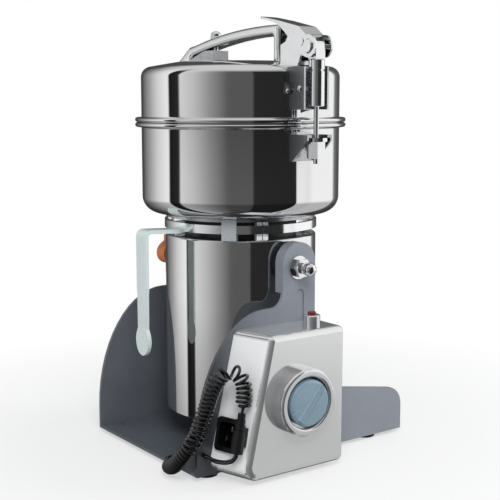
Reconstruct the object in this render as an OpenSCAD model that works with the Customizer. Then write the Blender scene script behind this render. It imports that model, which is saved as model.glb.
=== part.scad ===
// Electric spice grinder with a bowl and motor that swing in a steel cradle.
// Millimetres. Z is up, the control box faces -Y, the bowl tips over towards +X to pour.
// X and Y are counted from the upright axis of the bowl and motor, at axis_x and axis_y.

/* [Cradle] */
// Height of the swing axis above the table
pivot_h = 219; // [216:1:224]
// Half width of the cradle over its side plates
cradle_half = 109; // [108:0.5:111]
// Thickness of the floor and the side plates
plate_t = 4; // [3:0.5:5]
// Reach of the cradle from the bowl axis to the handle end
reach_handle = 134.9; // [130:1:140]
// Reach of the cradle from the bowl axis to the pouring end
reach_pour = 161.8; // [155:1:170]
// Height of the side plates where the floor ends
cheek_h = 33; // [28:1:38]
// Height of the shoulder where the side plates start to curve up to the ears
shoulder_h = 176.5; // [172:0.5:180]
// How much lower that shoulder is on the back side plate
far_drop = 4.5; // [0:0.5:6]
// Height of the low tail of the side plates at the pouring end
tail_h = 59.3; // [56:0.1:66]
// Radius of the rounded ear round each swing bearing
ear_r = 22.7; // [20:0.1:25]
// Thickness of the ear with its inner boss
ear_t = 14; // [12:0.5:14.5]
// Height of the rubber feet
foot_h = 5; // [4:0.5:8]
// Radius of the rubber feet
foot_r = 14; // [11:0.5:16]
// Distance of the feet from the middle of the cradle, across
foot_y = 92; // [80:1:92]

/* [Motor] */
// Outer radius of the motor housing
motor_r = 88.6; // [86:0.2:90]
// Top of the motor housing above the swing axis
motor_up = 29.5; // [28:0.5:31]
// Bottom of the motor housing below the swing axis
motor_down = 179; // [175:1:185]
// Wall of the motor housing
shell_t = 2; // [1.5:0.25:3]
// Radius of the motor shaft
shaft_r = 8; // [7:0.25:9]
// Outer radius of the rotor
rotor_r = 42; // [38:1:46]
// Radius of the swing pins
pin_r = 10; // [9:0.5:11]

/* [Neck] */
// Outer radius of the bright band between motor and bowl
band_r = 89.5; // [89:0.1:90.5]
// Height of the bright band
band_h = 9.5; // [8:0.5:12]
// Radius of the dark casting inside the band
core_r = 66; // [60:1:70]
// Thickness of the disc that carries the bowl
disc_t = 4.5; // [3.5:0.5:6]
// Width of each of the three lugs that join motor and bowl
lug_w = 16.5; // [14:0.5:22]

/* [Bowl and lid] */
// Outer radius of the bowl and the lid
bowl_r = 115; // [114:0.2:117]
// Height of the bowl from its floor to the joint with the lid
bowl_h = 104; // [100:1:108]
// Wall of the bowl and the lid
bowl_wall = 1.8; // [1.4:0.1:2.4]
// Radius of the bowl's bottom corner
bowl_corner = 19; // [14:1:22]
// Reach of the rolled rims past the bowl wall
rim_out = 7.3; // [6:0.1:8]
// Height of each rolled rim
rim_t = 5.4; // [4.6:0.2:6]
// Height of the lid from the joint to its flat top
lid_h = 68; // [66:1:70]
// Radius of the lid's shoulder
lid_corner = 12; // [9:1:14]

/* [Handles] */
// Width of the carrying handle on the lid
grip_w = 24; // [20:1:26]
// Thickness of the carrying handle
grip_t = 11; // [8:0.5:12]
// Height of the carrying handle above the lid
grip_h = 38.5; // [36:0.5:42]
// Reach of the tilt handle from the bowl axis
lever_out = 136.4; // [133:0.2:142]
// Length of the tilt handle below its bend
lever_drop = 142.5; // [130:0.5:146]
// Width of the tilt handle
lever_w = 20; // [16:1:22]
// Thickness of the tilt handle
lever_t = 4.5; // [3.5:0.5:6]

/* [Latch] */
// Distance of the latch barrel's axis from the bowl's wall
latch_out = 23.4; // [23:0.2:25]
// Radius of the spring barrel
barrel_r = 8.7; // [7.5:0.1:9]
// Radius of the latch rod
rod_r = 2.8; // [2.4:0.1:3.4]
// Half width of the latch lever over its side walls
latch_half = 12; // [11.5:0.25:12.5]
// Thickness of the latch's sheet metal
sheet_t = 2.2; // [1.8:0.1:2.6]
// Half width of the guide on the lid and of the catch on the bowl
guide_half = 17; // [16:0.25:18]
// Half width of the slot in the catch
slot_half = 10.8; // [10.5:0.1:11.4]
// Distance of the lid's hinge from the bowl's wall
hinge_out = 19; // [18:0.5:21]
// Height of the lid's hinge axis above the joint
hinge_up = 53; // [50:1:56]

/* [Control box] */
// Depth of the control box
box_d = 49; // [46:1:52]
// Height of the control box's top above the table
box_top = 158.6; // [154:0.2:162]
// Reach of the control box towards the pouring end
box_right = 27.7; // [25:0.1:32]
// Reach of the control box's top towards the handle end
box_left = 74; // [70:1:78]
// Slant of the control box's side, in degrees from upright
box_slant = 13.2; // [10:0.2:15]
// How much further the slanted side reaches at the cradle than at the face
box_flare = 12; // [8:1:14]
// Radius of the rounded edges of the control box
box_round = 7; // [5:0.5:8]
// Wall of the control box
box_wall = 3.5; // [3:0.25:4]
// Outer radius of the timer's bezel
bezel_r = 36.6; // [34:0.2:38]
// How far the bezel stands out of the face
bezel_d = 15.9; // [13:0.1:17]
// Radius of the timer knob
knob_r = 25.4; // [22:0.2:26]
// How far the knob stands out of the bezel
knob_proud = 5.5; // [2:0.5:7]
// Height of the timer's axis above the table
timer_h = 85.4; // [82:0.2:90]
// Radius of the collar round the reset button
collar_r = 9; // [8:0.5:10]
// Radius of the reset button
button_r = 4.7; // [4:0.1:5.5]
// Height of the collar round the reset button
collar_h = 14; // [11:0.5:16]
// Travel of the reset button
reset_travel = 3; // [2:0.5:4]

/* [Curly cord] */
// Radius of the cord's own wire
wire_r = 1.7; // [1.5:0.05:1.8]
// Radius of the curls at the middle of the wire
curl_r = 7.4; // [7:0.1:7.6]
// Distance from curl to curl where the cord runs straight
curl_pitch = 4.6; // [4.4:0.1:5.2]

/* [Fits] */
// Radial gap of everything that turns on a pin or shaft
run_gap = 0.05; // [0.03:0.01:0.08]
// Gap between pieces that move past each other
move_gap = 0.3; // [0.2:0.05:0.4]
// Radial gap of round pieces that are pressed or screwed together
seat_gap = 0.04; // [0.02:0.01:0.08]

/* [Hidden] */
$fn = 64;

// Upright axis of the bowl and motor, seen from the middle of the whole grinder
axis_x = -12.7;
axis_y = 12.5;

// Heights of the stack, from the table up
floor_z = foot_h;
floor_top = foot_h + plate_t;
motor_bottom = pivot_h - motor_down;
motor_top = pivot_h + motor_up;
band_z = motor_top + 7;
disc_z = band_z + band_h + 3.5;
bowl_z = disc_z + disc_t;
joint_z = bowl_z + bowl_h;
lid_top = joint_z + lid_h;
rim_r = bowl_r + rim_out;
latch_y = bowl_r + latch_out;
hinge_y = bowl_r + hinge_out;
hinge_z = joint_z + hinge_up;
plate_in = cradle_half - plate_t;
ear_in = cradle_half - ear_t;

// Motor insides
core_gap = 1;
stator_r = motor_r - shell_t - seat_gap;
bearing_r = 17.5;
bearing_h = 11;
cover_t = 3;
low_bearing_z = motor_bottom + 6;
top_bearing_z = motor_top + 3.5;
rotor_z = motor_bottom + 70;
rotor_len = 70;
commutator_z = rotor_z + rotor_len + 12;
shaft_top = bowl_z + 48;
spindle_r = shaft_r - 2;
spindle_z = bowl_z + 3;

// Swing bearings
bush_r = pin_r + 3;
saddle_r = pin_r + 10;
stud_r = 6;
ear_dx = 2;
ear_dz = 5;
washer_y = cradle_half + move_gap;
nut_y = washer_y + 2;
cap_y = nut_y + 8;
clamp_y = washer_y + 18;
clamp_t = 24;

// Control box
slope = tan(box_slant);
box_z = foot_h + 0.5;
box_face = cradle_half + box_d;
foot_round = 17;
timer_x = -35.4;
reset_x = -8.2;
reset_y = box_face - 14;
box_screw_x = [14, -58, 14, -88];
box_screw_z = [box_top - 13, box_top - 13, box_z + 14, box_z + 14];
inlet_y = 126;
inlet_z = 52;
boot_y = 147.5;
boot_z = 58;
boot_off = 9.5;
boot_len = 21;

// Latch
lever_pin_y = latch_y - 12.4;
lever_pin_z = lid_top + 18;
link_pin_z = lid_top + 13;
catch_z = joint_z - 14.5;
catch_t = 3;
catch_reach = latch_y + 6;
nut_z = catch_z - move_gap;
barrel_top = link_pin_z - 13;
barrel_len = 50;

// Carrying handle
arch_r = 700;
arch_y = -70;
grip_z = lid_top + grip_h;
leg_back = bowl_r - 27;
leg_front = -leg_back;

// Points of an arc from angle a0 to a1, with n steps
function arc(cx, cz, r, a0, a1, n) = arc2(cx, cz, r, r, a0, a1, n);
function arc2(cx, cz, rx, rz, a0, a1, n) =
    [for (i = [0:n]) let (a = a0 + (a1 - a0) * i / n) [cx + rx * cos(a), cz + rz * sin(a)]];

// Reach of the control box's slanted side at height z and distance y from the axis
function slant_x(y, z) =
    -box_left - slope * (box_top - z) - box_flare * (box_face - y) / box_d;

module on_axis() {
    translate([axis_x, axis_y, 0]) children();
}

// Turns an outline drawn in X and Z into a plate that starts at distance y in front of the axis
module front_plate(y, t) {
    translate([0, -y, 0]) rotate([90, 0, 0]) linear_extrude(t) children();
}

// Turns an outline drawn in Y and Z into a plate of width w that straddles X = 0
module cross_plate(w) {
    translate([-w / 2, 0, 0]) rotate([90, 0, 90]) linear_extrude(w) children();
}

// A round bar along Y, from y0 to y1 in front of the axis
module bar_y(r, y0, y1, sides = 64) {
    translate([0, -y0, 0]) rotate([90, 0, 0]) cylinder(r = r, h = y1 - y0, $fn = sides);
}

// A round bar along X, centred
module bar_x(r, w, sides = 64) {
    translate([-w / 2, 0, 0]) rotate([0, 90, 0]) cylinder(r = r, h = w, $fn = sides);
}

// A flat ring
module ring(ro, ri, z, h) {
    translate([0, 0, z]) difference() {
        cylinder(r = ro, h = h);
        translate([0, 0, -1]) cylinder(r = ri, h = h + 2);
    }
}

// A ring segment: the part of a revolved profile inside a slice w wide at azimuth a
module slice(a, w) {
    intersection() {
        children();
        rotate([0, 0, a]) translate([0, -w / 2, 0]) cube([200, w, 500]);
    }
}

module at_feet() {
    for (x = [foot_r + 9 - reach_handle, reach_pour - foot_r - 30], y = [-foot_y, foot_y])
        translate([x, y, 0]) children();
}

module at_box_screws() {
    for (i = [0:3]) translate([box_screw_x[i], 0, box_screw_z[i]]) children();
}

// Places a piece on the slanted side, with -X pointing out of it
module on_slant(y, z) {
    lean = atan(box_flare / box_d);
    translate([slant_x(y, z), -y, z])
        rotate([0, asin(slope / sqrt(1 + slope * slope + tan(lean) * tan(lean))), lean]) children();
}

// Cradle
module cradle_floor() {
    color("#444952") on_axis() difference() {
        translate([-reach_handle, -plate_in, floor_z])
            cube([reach_handle + reach_pour, 2 * plate_in, plate_t]);
        at_feet() cylinder(r = 2.6, h = floor_top + 1);
    }
}

ear_left = ear_dx - ear_r;
ear_right = ear_dx + ear_r;
ear_top_z = pivot_h + ear_dz;
ear_foot_z = shoulder_h + 15;

module side_outline(shoulder) {
    crest = ear_left - 23.3;
    tail_fillet = 10;
    tail_corner = 24;
    tail_tilt = 9.5;
    tail_run = reach_pour - tail_corner - ear_right - tail_fillet;
    fillet_z = tail_h - tail_corner
        + (tail_run * sin(tail_tilt) + tail_fillet + tail_corner) / cos(tail_tilt);
    polygon(concat(
        [[-reach_handle, floor_z]],
        arc2(crest, cheek_h, reach_handle + crest, shoulder - cheek_h, 180, 90, 14),
        arc(ear_left - 15, shoulder + 15, 15, 270, 360, 5),
        arc(ear_dx, ear_top_z, ear_r, 180, 0, 16),
        arc(ear_right + tail_fillet, fillet_z, tail_fillet, 180, 270 - tail_tilt, 4),
        arc(reach_pour - tail_corner, tail_h - tail_corner, tail_corner, 90 - tail_tilt, 0, 7),
        [[reach_pour, floor_z]]));
}

module ear_outline() {
    polygon(concat([[ear_left, ear_foot_z]], arc(ear_dx, ear_top_z, ear_r, 180, 0, 16),
        [[ear_right, ear_foot_z]]));
}

module side_plate(shoulder) {
    slot_x = 3;
    slot_w = 12;
    slot_top = pivot_h - 25;
    difference() {
        union() {
            front_plate(plate_in, plate_t) side_outline(shoulder);
            front_plate(ear_in, ear_t - plate_t) ear_outline();
        }
        translate([0, 0, pivot_h]) bar_y(bush_r, ear_in - 1, cradle_half + 1);
        front_plate(cradle_half - 1.2, 2) union() {
            translate([slot_x - slot_w / 2, slot_top - 44]) square([slot_w, 44 - slot_w / 2]);
            translate([slot_x, slot_top - slot_w / 2]) circle(r = slot_w / 2);
        }
    }
}

module front_side_plate() {
    color("#8a8e96") on_axis() difference() {
        side_plate(shoulder_h);
        at_box_screws() bar_y(2.6, plate_in - 1, cradle_half + 1);
    }
}

module back_side_plate() {
    color("#50555b") on_axis() mirror([0, 1, 0]) side_plate(shoulder_h - far_drop);
}

module rubber_feet() {
    color("#1c1d1f") on_axis() at_feet() rotate_extrude()
        polygon([[5.2, 0], [foot_r - 1.5, 0], [foot_r, foot_h], [2.6, foot_h], [2.6, 3], [5.2, 3]]);
}

module foot_bolts() {
    color("silver") on_axis() at_feet() union() {
        translate([0, 0, 1]) cylinder(r = 4.8, h = 2);
        translate([0, 0, 2]) cylinder(r = 2.5, h = floor_top - 2);
    }
}

module swing_bushes() {
    color("#b08d57") on_axis() for (m = [0, 1]) mirror([0, m, 0]) translate([0, 0, pivot_h])
        difference() {
            union() {
                bar_y(bush_r - seat_gap, ear_in, cradle_half);
                bar_y(bush_r + 3, ear_in - 1.5, ear_in);
            }
            bar_y(pin_r + run_gap, ear_in - 3, cradle_half + 1);
        }
}

// Control box
module box_corner(x, z, r) {
    turned = box_face - box_round;
    translate([x, -turned, z]) rotate([90, 0, 0]) {
        if (r > box_round) rotate_extrude($fn = 40) translate([r - box_round, 0])
            circle(r = box_round, $fn = 24);
        else sphere(r = box_round, $fn = 28);
    }
}

module box_outer() {
    z_high = box_top - box_round;
    z_low = box_z + box_round;
    z_foot = box_z + foot_round;
    side = 1 / cos(box_slant);
    x_high = slant_x(box_face, z_high) + box_round * side;
    x_foot = slant_x(box_face, z_foot) + foot_round * side;
    hull() {
        box_corner(x_high, z_high, box_round);
        box_corner(box_right - box_round, z_high, box_round);
        box_corner(box_right - box_round, z_low, box_round);
        box_corner(x_foot, z_foot, foot_round);
        translate([0, -cradle_half, 0]) rotate([90, 0, 0]) linear_extrude(0.5) {
            translate([x_high - box_flare, z_high]) circle(r = box_round, $fn = 28);
            translate([box_right - box_round, z_high]) circle(r = box_round, $fn = 28);
            translate([box_right - box_round, z_low]) circle(r = box_round, $fn = 28);
            translate([x_foot - box_flare, z_foot]) circle(r = foot_round, $fn = 40);
        }
    }
}

// The hollow of the control box, cut back by the wall on every side
module box_hollow() {
    w = box_wall;
    z_high = box_top - w;
    z_low = box_z + w;
    z_foot = box_z + foot_round;
    front = box_face - w;
    hull() for (y = [cradle_half - 1, front]) translate([0, -y, 0]) rotate([90, 0, 0])
        linear_extrude(0.1) polygon([[slant_x(y, z_high) + w / cos(box_slant), z_high],
            [box_right - w, z_high], [box_right - w, z_low],
            [slant_x(y, z_foot) + foot_round, z_low],
            [slant_x(y, z_foot) + w / cos(box_slant) + 1, z_foot]]);
}

inlet_w = 30;
inlet_h = 36;
inlet_t = 2.5;

module control_box() {
    color("#dfe0e1") on_axis() difference() {
        union() {
            difference() {
                box_outer();
                box_hollow();
            }
            at_box_screws() bar_y(5, cradle_half, box_face - box_wall + 0.5);
        }
        at_box_screws() bar_y(2.1, cradle_half - 1, cradle_half + 14);
        translate([timer_x, 0, timer_h]) bar_y(5, box_face - 2 * box_wall, box_face + 1);
        translate([reset_x, -reset_y, box_top - 2 * box_wall])
            cylinder(r = collar_r - 2, h = 3 * box_wall);
        on_slant(inlet_y, inlet_z) translate([-5, 2 - inlet_w / 2, 2 - inlet_h / 2])
            cube([22, inlet_w - 4, inlet_h - 4]);
    }
}

module box_screws() {
    color("silver") on_axis() at_box_screws() union() {
        bar_y(4.5, plate_in - 2.4, plate_in);
        bar_y(2, plate_in - 1, cradle_half + 12);
    }
}

module timer_bezel() {
    color("#d5d9dc") on_axis() translate([timer_x, -box_face, timer_h]) rotate([90, 0, 0])
        rotate_extrude() polygon(concat([[knob_r + 2.5, 0], [bezel_r, 0]],
            arc(bezel_r - 3, bezel_d - 3, 3, 0, 90, 5),
            arc(knob_r + 5, bezel_d - 2.5, 2.5, 90, 180, 5)));
}

module timer_mechanism() {
    color("#3a3d42") on_axis() difference() {
        union() {
            translate([timer_x - 20, box_wall - box_face, timer_h - 20]) cube([40, 30, 40]);
            translate([timer_x, 0, timer_h]) bar_y(4.9, box_face - 4, box_face - 0.5);
        }
        translate([timer_x, 0, timer_h]) bar_y(3 + run_gap, box_face - 30, box_face + 1);
    }
}

module timer_shaft() {
    color("silver") on_axis() translate([timer_x, 0, timer_h])
        bar_y(3, box_face - 29, box_face + bezel_d - 6);
}

module timer_knob() {
    back = 1.6;
    proud = bezel_d + knob_proud;
    color("#8fa8b6") on_axis() translate([timer_x, -box_face, timer_h]) rotate([90, 0, 0])
        difference() {
            union() {
                rotate_extrude() polygon(concat([[0, back], [knob_r - 2, back], [knob_r, back + 2]],
                    arc(knob_r - 4, proud - 6.5, 4, 0, 80, 5), [[0, proud - 1.5]]));
                intersection() {
                    translate([0, 0, back]) cylinder(r = knob_r - 2.5, h = proud);
                    rotate([0, 0, 50]) translate([-knob_r, 0, proud - 4.2]) rotate([90, 0, 90])
                        linear_extrude(2 * knob_r) polygon(concat([[-6, 0], [6, 0]],
                            arc(0, 0.4, 4.6, 30, 150, 6)));
                }
            }
            translate([0, 0, -1]) cylinder(r = 3 + seat_gap, h = bezel_d - 4.5);
        }
}

module reset_collar() {
    z0 = box_top;
    color("#cfd3d6") on_axis() translate([reset_x, -reset_y, 0]) rotate_extrude()
        polygon([[button_r, z0 - 9], [collar_r - 2.1, z0 - 9], [collar_r - 2.1, z0], [collar_r, z0],
            [collar_r, z0 + collar_h - 1], [collar_r - 1, z0 + collar_h],
            [button_r, z0 + collar_h]]);
}

module reset_button() {
    color("#8e1f24") on_axis() translate([reset_x, -reset_y, 0]) rotate_extrude()
        polygon(concat([[0, box_top - 8 + reset_travel],
                [button_r - run_gap, box_top - 8 + reset_travel]],
            arc(button_r - run_gap - 1.5, box_top + collar_h + reset_travel - 1, 1.5, 0, 90, 4),
            [[0, box_top + collar_h + reset_travel + 0.5]]));
}

module reset_breaker() {
    color("#2b2d30") on_axis() translate([reset_x - 11, -reset_y - 8, box_top - 44])
        cube([22, 20, 44 - 9]);
}

// Rounded block, x deep, centred in y and z
module rounded_block(x, w, h, r) {
    rotate([90, 0, 90]) linear_extrude(x) union() {
        square([w - 2 * r, h], center = true);
        square([w, h - 2 * r], center = true);
        for (i = [-1, 1], j = [-1, 1]) translate([i * (w / 2 - r), j * (h / 2 - r)]) circle(r = r);
    }
}

module mains_inlet() {
    color("#17181a") on_axis() on_slant(inlet_y, inlet_z) difference() {
        union() {
            translate([-inlet_t, 0, 0]) rounded_block(inlet_t, inlet_w, inlet_h, 5);
            translate([-0.1, 2.2 - inlet_w / 2, 2.2 - inlet_h / 2])
                cube([17.6, inlet_w - 4.4, inlet_h - 4.4]);
        }
        translate([-5, 0, 0]) rounded_block(21, inlet_w - 8, inlet_h - 10, 3);
    }
}

module inlet_blades() {
    color("silver") on_axis() on_slant(inlet_y, inlet_z)
        for (p = [[0, 6], [-6.5, -5], [6.5, -5]])
            translate([6, p[0] - 1, p[1] - 2.5]) cube([10, 2, 5]);
}

module cord_boot() {
    color("#161719") on_axis() on_slant(boot_y, boot_z) difference() {
        union() {
            translate([-boot_off, 0, -boot_len]) cylinder(r = 6.8, h = 14);
            translate([-boot_off, 0, -7]) rotate_extrude() polygon([[0, 0], [6.8, 0], [6.2, 10],
                [5, 10], [5, 11.5], [5.7, 11.5], [5.4, 16], [4.4, 16], [4.4, 17.5], [5, 17.5],
                [4.6, 22], [3.8, 22], [3.8, 23.5], [4.2, 23.5], [4, 28], [0, 28]]);
            translate([-boot_off, -4, -14]) cube([boot_off, 8, 20]);
        }
        translate([-boot_off, 0, -boot_len - 1]) cylinder(r = 2.7, h = 6);
    }
}

// Cords
function unit(v) = v / norm(v);
function mix(a, b, f) = a + (b - a) * f;
function spline(p, i, t) = let (n = len(p) - 1, b = p[i], c = p[i + 1],
    a = i > 0 ? p[i - 1] : 2 * b - c, d = i + 1 < n ? p[i + 2] : 2 * c - b)
    0.5 * (2 * b + (c - a) * t + (2 * a - 5 * b + 4 * c - d) * t * t
        + (3 * b - a - 3 * c + d) * t * t * t);
function smooth(p, m) = concat([for (i = [0:len(p) - 2], j = [0:m - 1]) spline(p, i, j / m)],
    [p[len(p) - 1]]);
function along(p, i) = unit(p[min(i + 1, len(p) - 1)] - p[max(i - 1, 0)]);
function lengths(p, i = 0, s = 0) = i >= len(p) ? [] :
    concat([s], lengths(p, i + 1, i + 1 < len(p) ? s + norm(p[i + 1] - p[i]) : s));

// Tube round the points p. The side directions, one for each point, are never along the path.
module tube(p, r, sides, across) {
    n = len(p);
    rings = [for (i = [0:n - 1])
        let (t = along(p, i), u = unit(cross(across[i], t)), v = cross(t, u))
        for (j = [0:sides - 1]) p[i] + r * (u * cos(360 * j / sides) + v * sin(360 * j / sides))];
    polyhedron(concat(rings, [p[0], p[n - 1]]), concat(
        [for (i = [0:n - 2], j = [0:sides - 1]) let (k = (j + 1) % sides)
            [i * sides + j, (i + 1) * sides + j, (i + 1) * sides + k]],
        [for (i = [0:n - 2], j = [0:sides - 1]) let (k = (j + 1) % sides)
            [i * sides + j, (i + 1) * sides + k, i * sides + k]],
        [for (j = [0:sides - 1]) [n * sides, j, (j + 1) % sides]],
        [for (j = [0:sides - 1])
            [n * sides + 1, (n - 1) * sides + (j + 1) % sides, (n - 1) * sides + j]]));
}

// A smooth lead, with one side direction for all of it
module lead(route, r, across) {
    p = smooth(route, 5);
    tube(p, r, 8, [for (q = p) across]);
}

// Middle line of the curly cord, from the boot over its loop and down past the cradle's corner
curl_route = [[-104.6, -148.6, 80.7], [-102, -148, 92.3], [-100.5, -147, 104], [-101.5, -144, 115],
    [-106.5, -139, 122], [-114, -133, 122], [-121, -128, 113], [-127, -125, 100], [-133, -123, 82],
    [-141, -122, 63], [-147, -119, 49], [-150, -111, 37], [-151, -101, 27], [-150, -90, 18.5],
    [-148, -79, 12.5], [-145.5, -69, 10.2], [-143, -61, 10]];
// Middle line of the straight lead, from the curls over the cradle floor to the motor
lead_route = [[-143, -61, 10], [-141, -56, 10.3], [-137.5, -52.5, 12.2], [-131, -51.5, 12.8],
    [-122, -51.5, 11.4], [-108, -50, 11.2], [-94, -46, 11.2], [-80, -42, 11.6], [-68, -40.2, 15.5],
    [-61, -40, 22], [-60, -40, 34]];
// Middle line of the short lead, from under the boot to the front side plate
link_route = [[-112.66, -150.56, 44.3], [-113.69, -150.81, 39.63], [-114.65, -150.75, 35.6],
    [-117, -147, 31], [-121, -139, 28.2], [-125, -128, 27.6], [-127, -117, 28.8],
    [-127, -109.1, 29.5]];
// A direction that the curly cord's middle line never takes
curl_across = [0.6, 0.8, 0];
// Rings of the tube in each curl, and how many turns the cord takes to open into full curls
curl_rings = 8;
curl_opening = 1.25;

fine = smooth(curl_route, 8);
fine_last = len(fine) - 1;
fine_s = lengths(fine);
function bend(i) = i < 1 || i >= fine_last ? 0 :
    let (a = fine[i] - fine[i - 1], b = fine[i + 1] - fine[i])
    2 * norm(cross(unit(a), unit(b))) / (norm(a) + norm(b));
// Curls stand wider apart in a bend, so that they stay clear of each other on its inside
function pitch_at(i) = max(curl_pitch, (2 * wire_r + 0.8) / max(0.3, 1 - 1.1 * curl_r * bend(i)));
function turns(i = 0, t = 0) = i > fine_last ? [] : concat([t], turns(i + 1, i < fine_last ?
    t + 2 * (fine_s[i + 1] - fine_s[i]) / (pitch_at(i) + pitch_at(i + 1)) : t));
fine_t = turns();
turn_count = fine_t[fine_last];
function place(t) = let (k = max([for (i = [0:fine_last - 1]) if (fine_t[i] <= t) i]),
    f = (t - fine_t[k]) / (fine_t[k + 1] - fine_t[k]))
    [mix(fine[k], fine[k + 1], f), unit(mix(along(fine, k), along(fine, k + 1), f))];
function outward(t) = let (q = place(t)[1], u = unit(cross(curl_across, q)), v = cross(q, u))
    u * cos(360 * t) + v * sin(360 * t);
// The cord's ends run straight along the middle line for one tube diameter and a little more
straight_turns = ceil(curl_rings * 2 * wire_r / curl_pitch + 1) / curl_rings;
function opened(t) = let (e = (min(t, turn_count - t) - straight_turns) / curl_opening)
    e <= 0 ? 0 : e >= 1 ? 1 : (1 - cos(180 * e)) / 2;
curl_t = [for (k = [curl_rings * straight_turns:floor(curl_rings * (turn_count - straight_turns))])
    k / curl_rings];
curl_points = [for (t = curl_t) place(t)[0] + curl_r * opened(t) * outward(t)];

// Least gap between the curls, from the points of rings at least half a curl apart
function least_gap(p) = min([for (i = [0:len(p) - 1], j = [i + 5:1:min(len(p) - 1, i + 90)])
    norm(p[i] - p[j])]) - 2 * wire_r;

module curly_cord() {
    last = len(curl_t) - 1;
    points = concat([fine[0]], curl_points, [fine[fine_last]]);
    sides = concat([outward(curl_t[0])], [for (t = curl_t) outward(t)], [outward(curl_t[last])]);
    echo(str("Curly cord: ", floor(turn_count), " curls, least gap ",
        least_gap(curl_points), " mm"));
    color("#1a1b1d") on_axis() tube(points, wire_r, 6, sides);
}

module motor_lead() {
    color("#1a1b1d") on_axis() lead(lead_route, wire_r, [0.6, -0.8, 0]);
}

module link_lead() {
    color("#1a1b1d") on_axis() lead(link_route, 2.5, [1, 0, 0]);
}

// Motor
module motor_housing() {
    ri = motor_r - shell_t;
    color("#c9ccd0") on_axis() rotate_extrude($fn = 96)
        polygon([[motor_r - 1, motor_bottom], [motor_r, motor_bottom + 1],
            [motor_r, motor_top - 3], [motor_r - 3, motor_top], [30, motor_top],
            [30, motor_top - 4], [ri, motor_top - 4], [ri, motor_bottom]]);
}

gland_at = [-60, -40];
gland_len = 9;

module bottom_cover() {
    color("#3c3f45") on_axis() difference() {
        union() {
            translate([0, 0, motor_bottom]) cylinder(r = stator_r, h = cover_t);
            translate([0, 0, motor_bottom]) cylinder(r = bearing_r + 5, h = bearing_h + 8);
        }
        translate([0, 0, low_bearing_z]) cylinder(r = bearing_r + seat_gap, h = 30);
        for (a = [15:30:345], r = [36, 50, 64]) rotate([0, 0, a])
            translate([r - 5, -3, motor_bottom - 1]) cube([10, 6, cover_t + 2]);
        translate([gland_at[0], gland_at[1], motor_bottom - 1])
            cylinder(r = 6 + seat_gap, h = cover_t + 2);
    }
}

module cord_gland() {
    color("#1b1c1e") on_axis() translate([gland_at[0], gland_at[1], 0]) rotate_extrude()
        polygon([[0, motor_bottom + 6], [6, motor_bottom + 6], [6, motor_bottom], [9, motor_bottom],
            [9, motor_bottom - 3], [5, motor_bottom - gland_len], [2, motor_bottom - gland_len],
            [2, motor_bottom - 2], [0, motor_bottom - 2]]);
}

module neck_casting() {
    color("#2f3237") on_axis() difference() {
        union() {
            translate([0, 0, motor_top]) cylinder(r = core_r, h = disc_z - motor_top);
            translate([0, 0, motor_top - 4]) cylinder(r = 30 - seat_gap, h = 5);
        }
        translate([0, 0, top_bearing_z]) cylinder(r = bearing_r + seat_gap, h = bearing_h + 0.1);
        translate([0, 0, motor_top - 5]) cylinder(r = shaft_r + 4, h = 60);
        ring(core_r - 7, bearing_r + 7, motor_top + 5, 40);
    }
}

module shaft_bearings() {
    color("silver") on_axis() for (z = [low_bearing_z, top_bearing_z])
        ring(bearing_r, shaft_r + seat_gap, z, bearing_h);
}

clamp_at = -19;

module neck_band() {
    color("#d9dcdf") on_axis() difference() {
        ring(band_r, band_r - 4, band_z, band_h);
        rotate([0, 0, clamp_at - 90]) translate([band_r - 8, -0.5, band_z - 1])
            cube([12, 1, band_h + 2]);
    }
}

// Two blocks behind the band, one on each side of its slit, drawn together by a screw
module band_clamp() {
    screw_x = band_r - 9;
    color("#e6e8ea") on_axis() rotate([0, 0, clamp_at - 90]) {
        for (m = [0, 1]) mirror([0, m, 0]) difference() {
            intersection() {
                translate([band_r - 13, 0.6, motor_top]) cube([13, 6, disc_z - motor_top]);
                cylinder(r = band_r - 4 - seat_gap, h = 400);
            }
            translate([screw_x, 0, band_z + band_h / 2]) rotate([90, 0, 0])
                cylinder(r = 2 + seat_gap, h = 20, center = true);
        }
        translate([screw_x, 0, band_z + band_h / 2]) rotate([90, 0, 0]) {
            cylinder(r = 2, h = 14, center = true);
            translate([0, 0, 6.6]) cylinder(r = 3.2, h = 3);
        }
    }
}

module joining_lugs() {
    color("#8b9096") on_axis() for (a = [106.5:120:346.5]) slice(a, lug_w) rotate_extrude($fn = 96)
        polygon([[motor_r - 9, motor_top], [band_r + 4, motor_top],
            [band_r + 4, bowl_z - 1], [motor_r - 0.6, bowl_z - 1],
            [motor_r - 0.6, band_z + band_h + 0.3], [band_r + seat_gap, band_z + band_h + 0.3],
            [band_r + seat_gap, band_z - 0.3], [motor_r - 9, band_z - 0.3]]);
}

module bowl_disc() {
    color("#c7cacd") on_axis() ring(motor_r - 0.6, 30, disc_z, disc_t);
}

module stator() {
    color("#7c5a3a") on_axis() difference() {
        union() {
            ring(stator_r - 22, rotor_r + core_gap, rotor_z, rotor_len);
            intersection() {
                union() for (a = [0, 90]) rotate([0, 0, a])
                    translate([-stator_r - 5, -11, rotor_z + 20]) cube([2 * stator_r + 10, 22, 40]);
                ring(stator_r, stator_r - 24, rotor_z, rotor_len);
            }
        }
        for (a = [30:60:330]) rotate([0, 0, a]) translate([rotor_r + 12, 0, rotor_z - 10])
            cylinder(r = 6, h = rotor_len + 20);
    }
}

module rotor_core() {
    color("#5c6066") on_axis() difference() {
        ring(rotor_r, shaft_r + seat_gap, rotor_z, rotor_len);
        for (a = [0:20:340]) rotate([0, 0, a]) translate([rotor_r - 6, -1.2, rotor_z - 1])
            cube([10, 2.4, rotor_len + 2]);
    }
}

module commutator() {
    color("#b4723f") on_axis() ring(20, shaft_r + seat_gap, commutator_z, 20);
}

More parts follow.
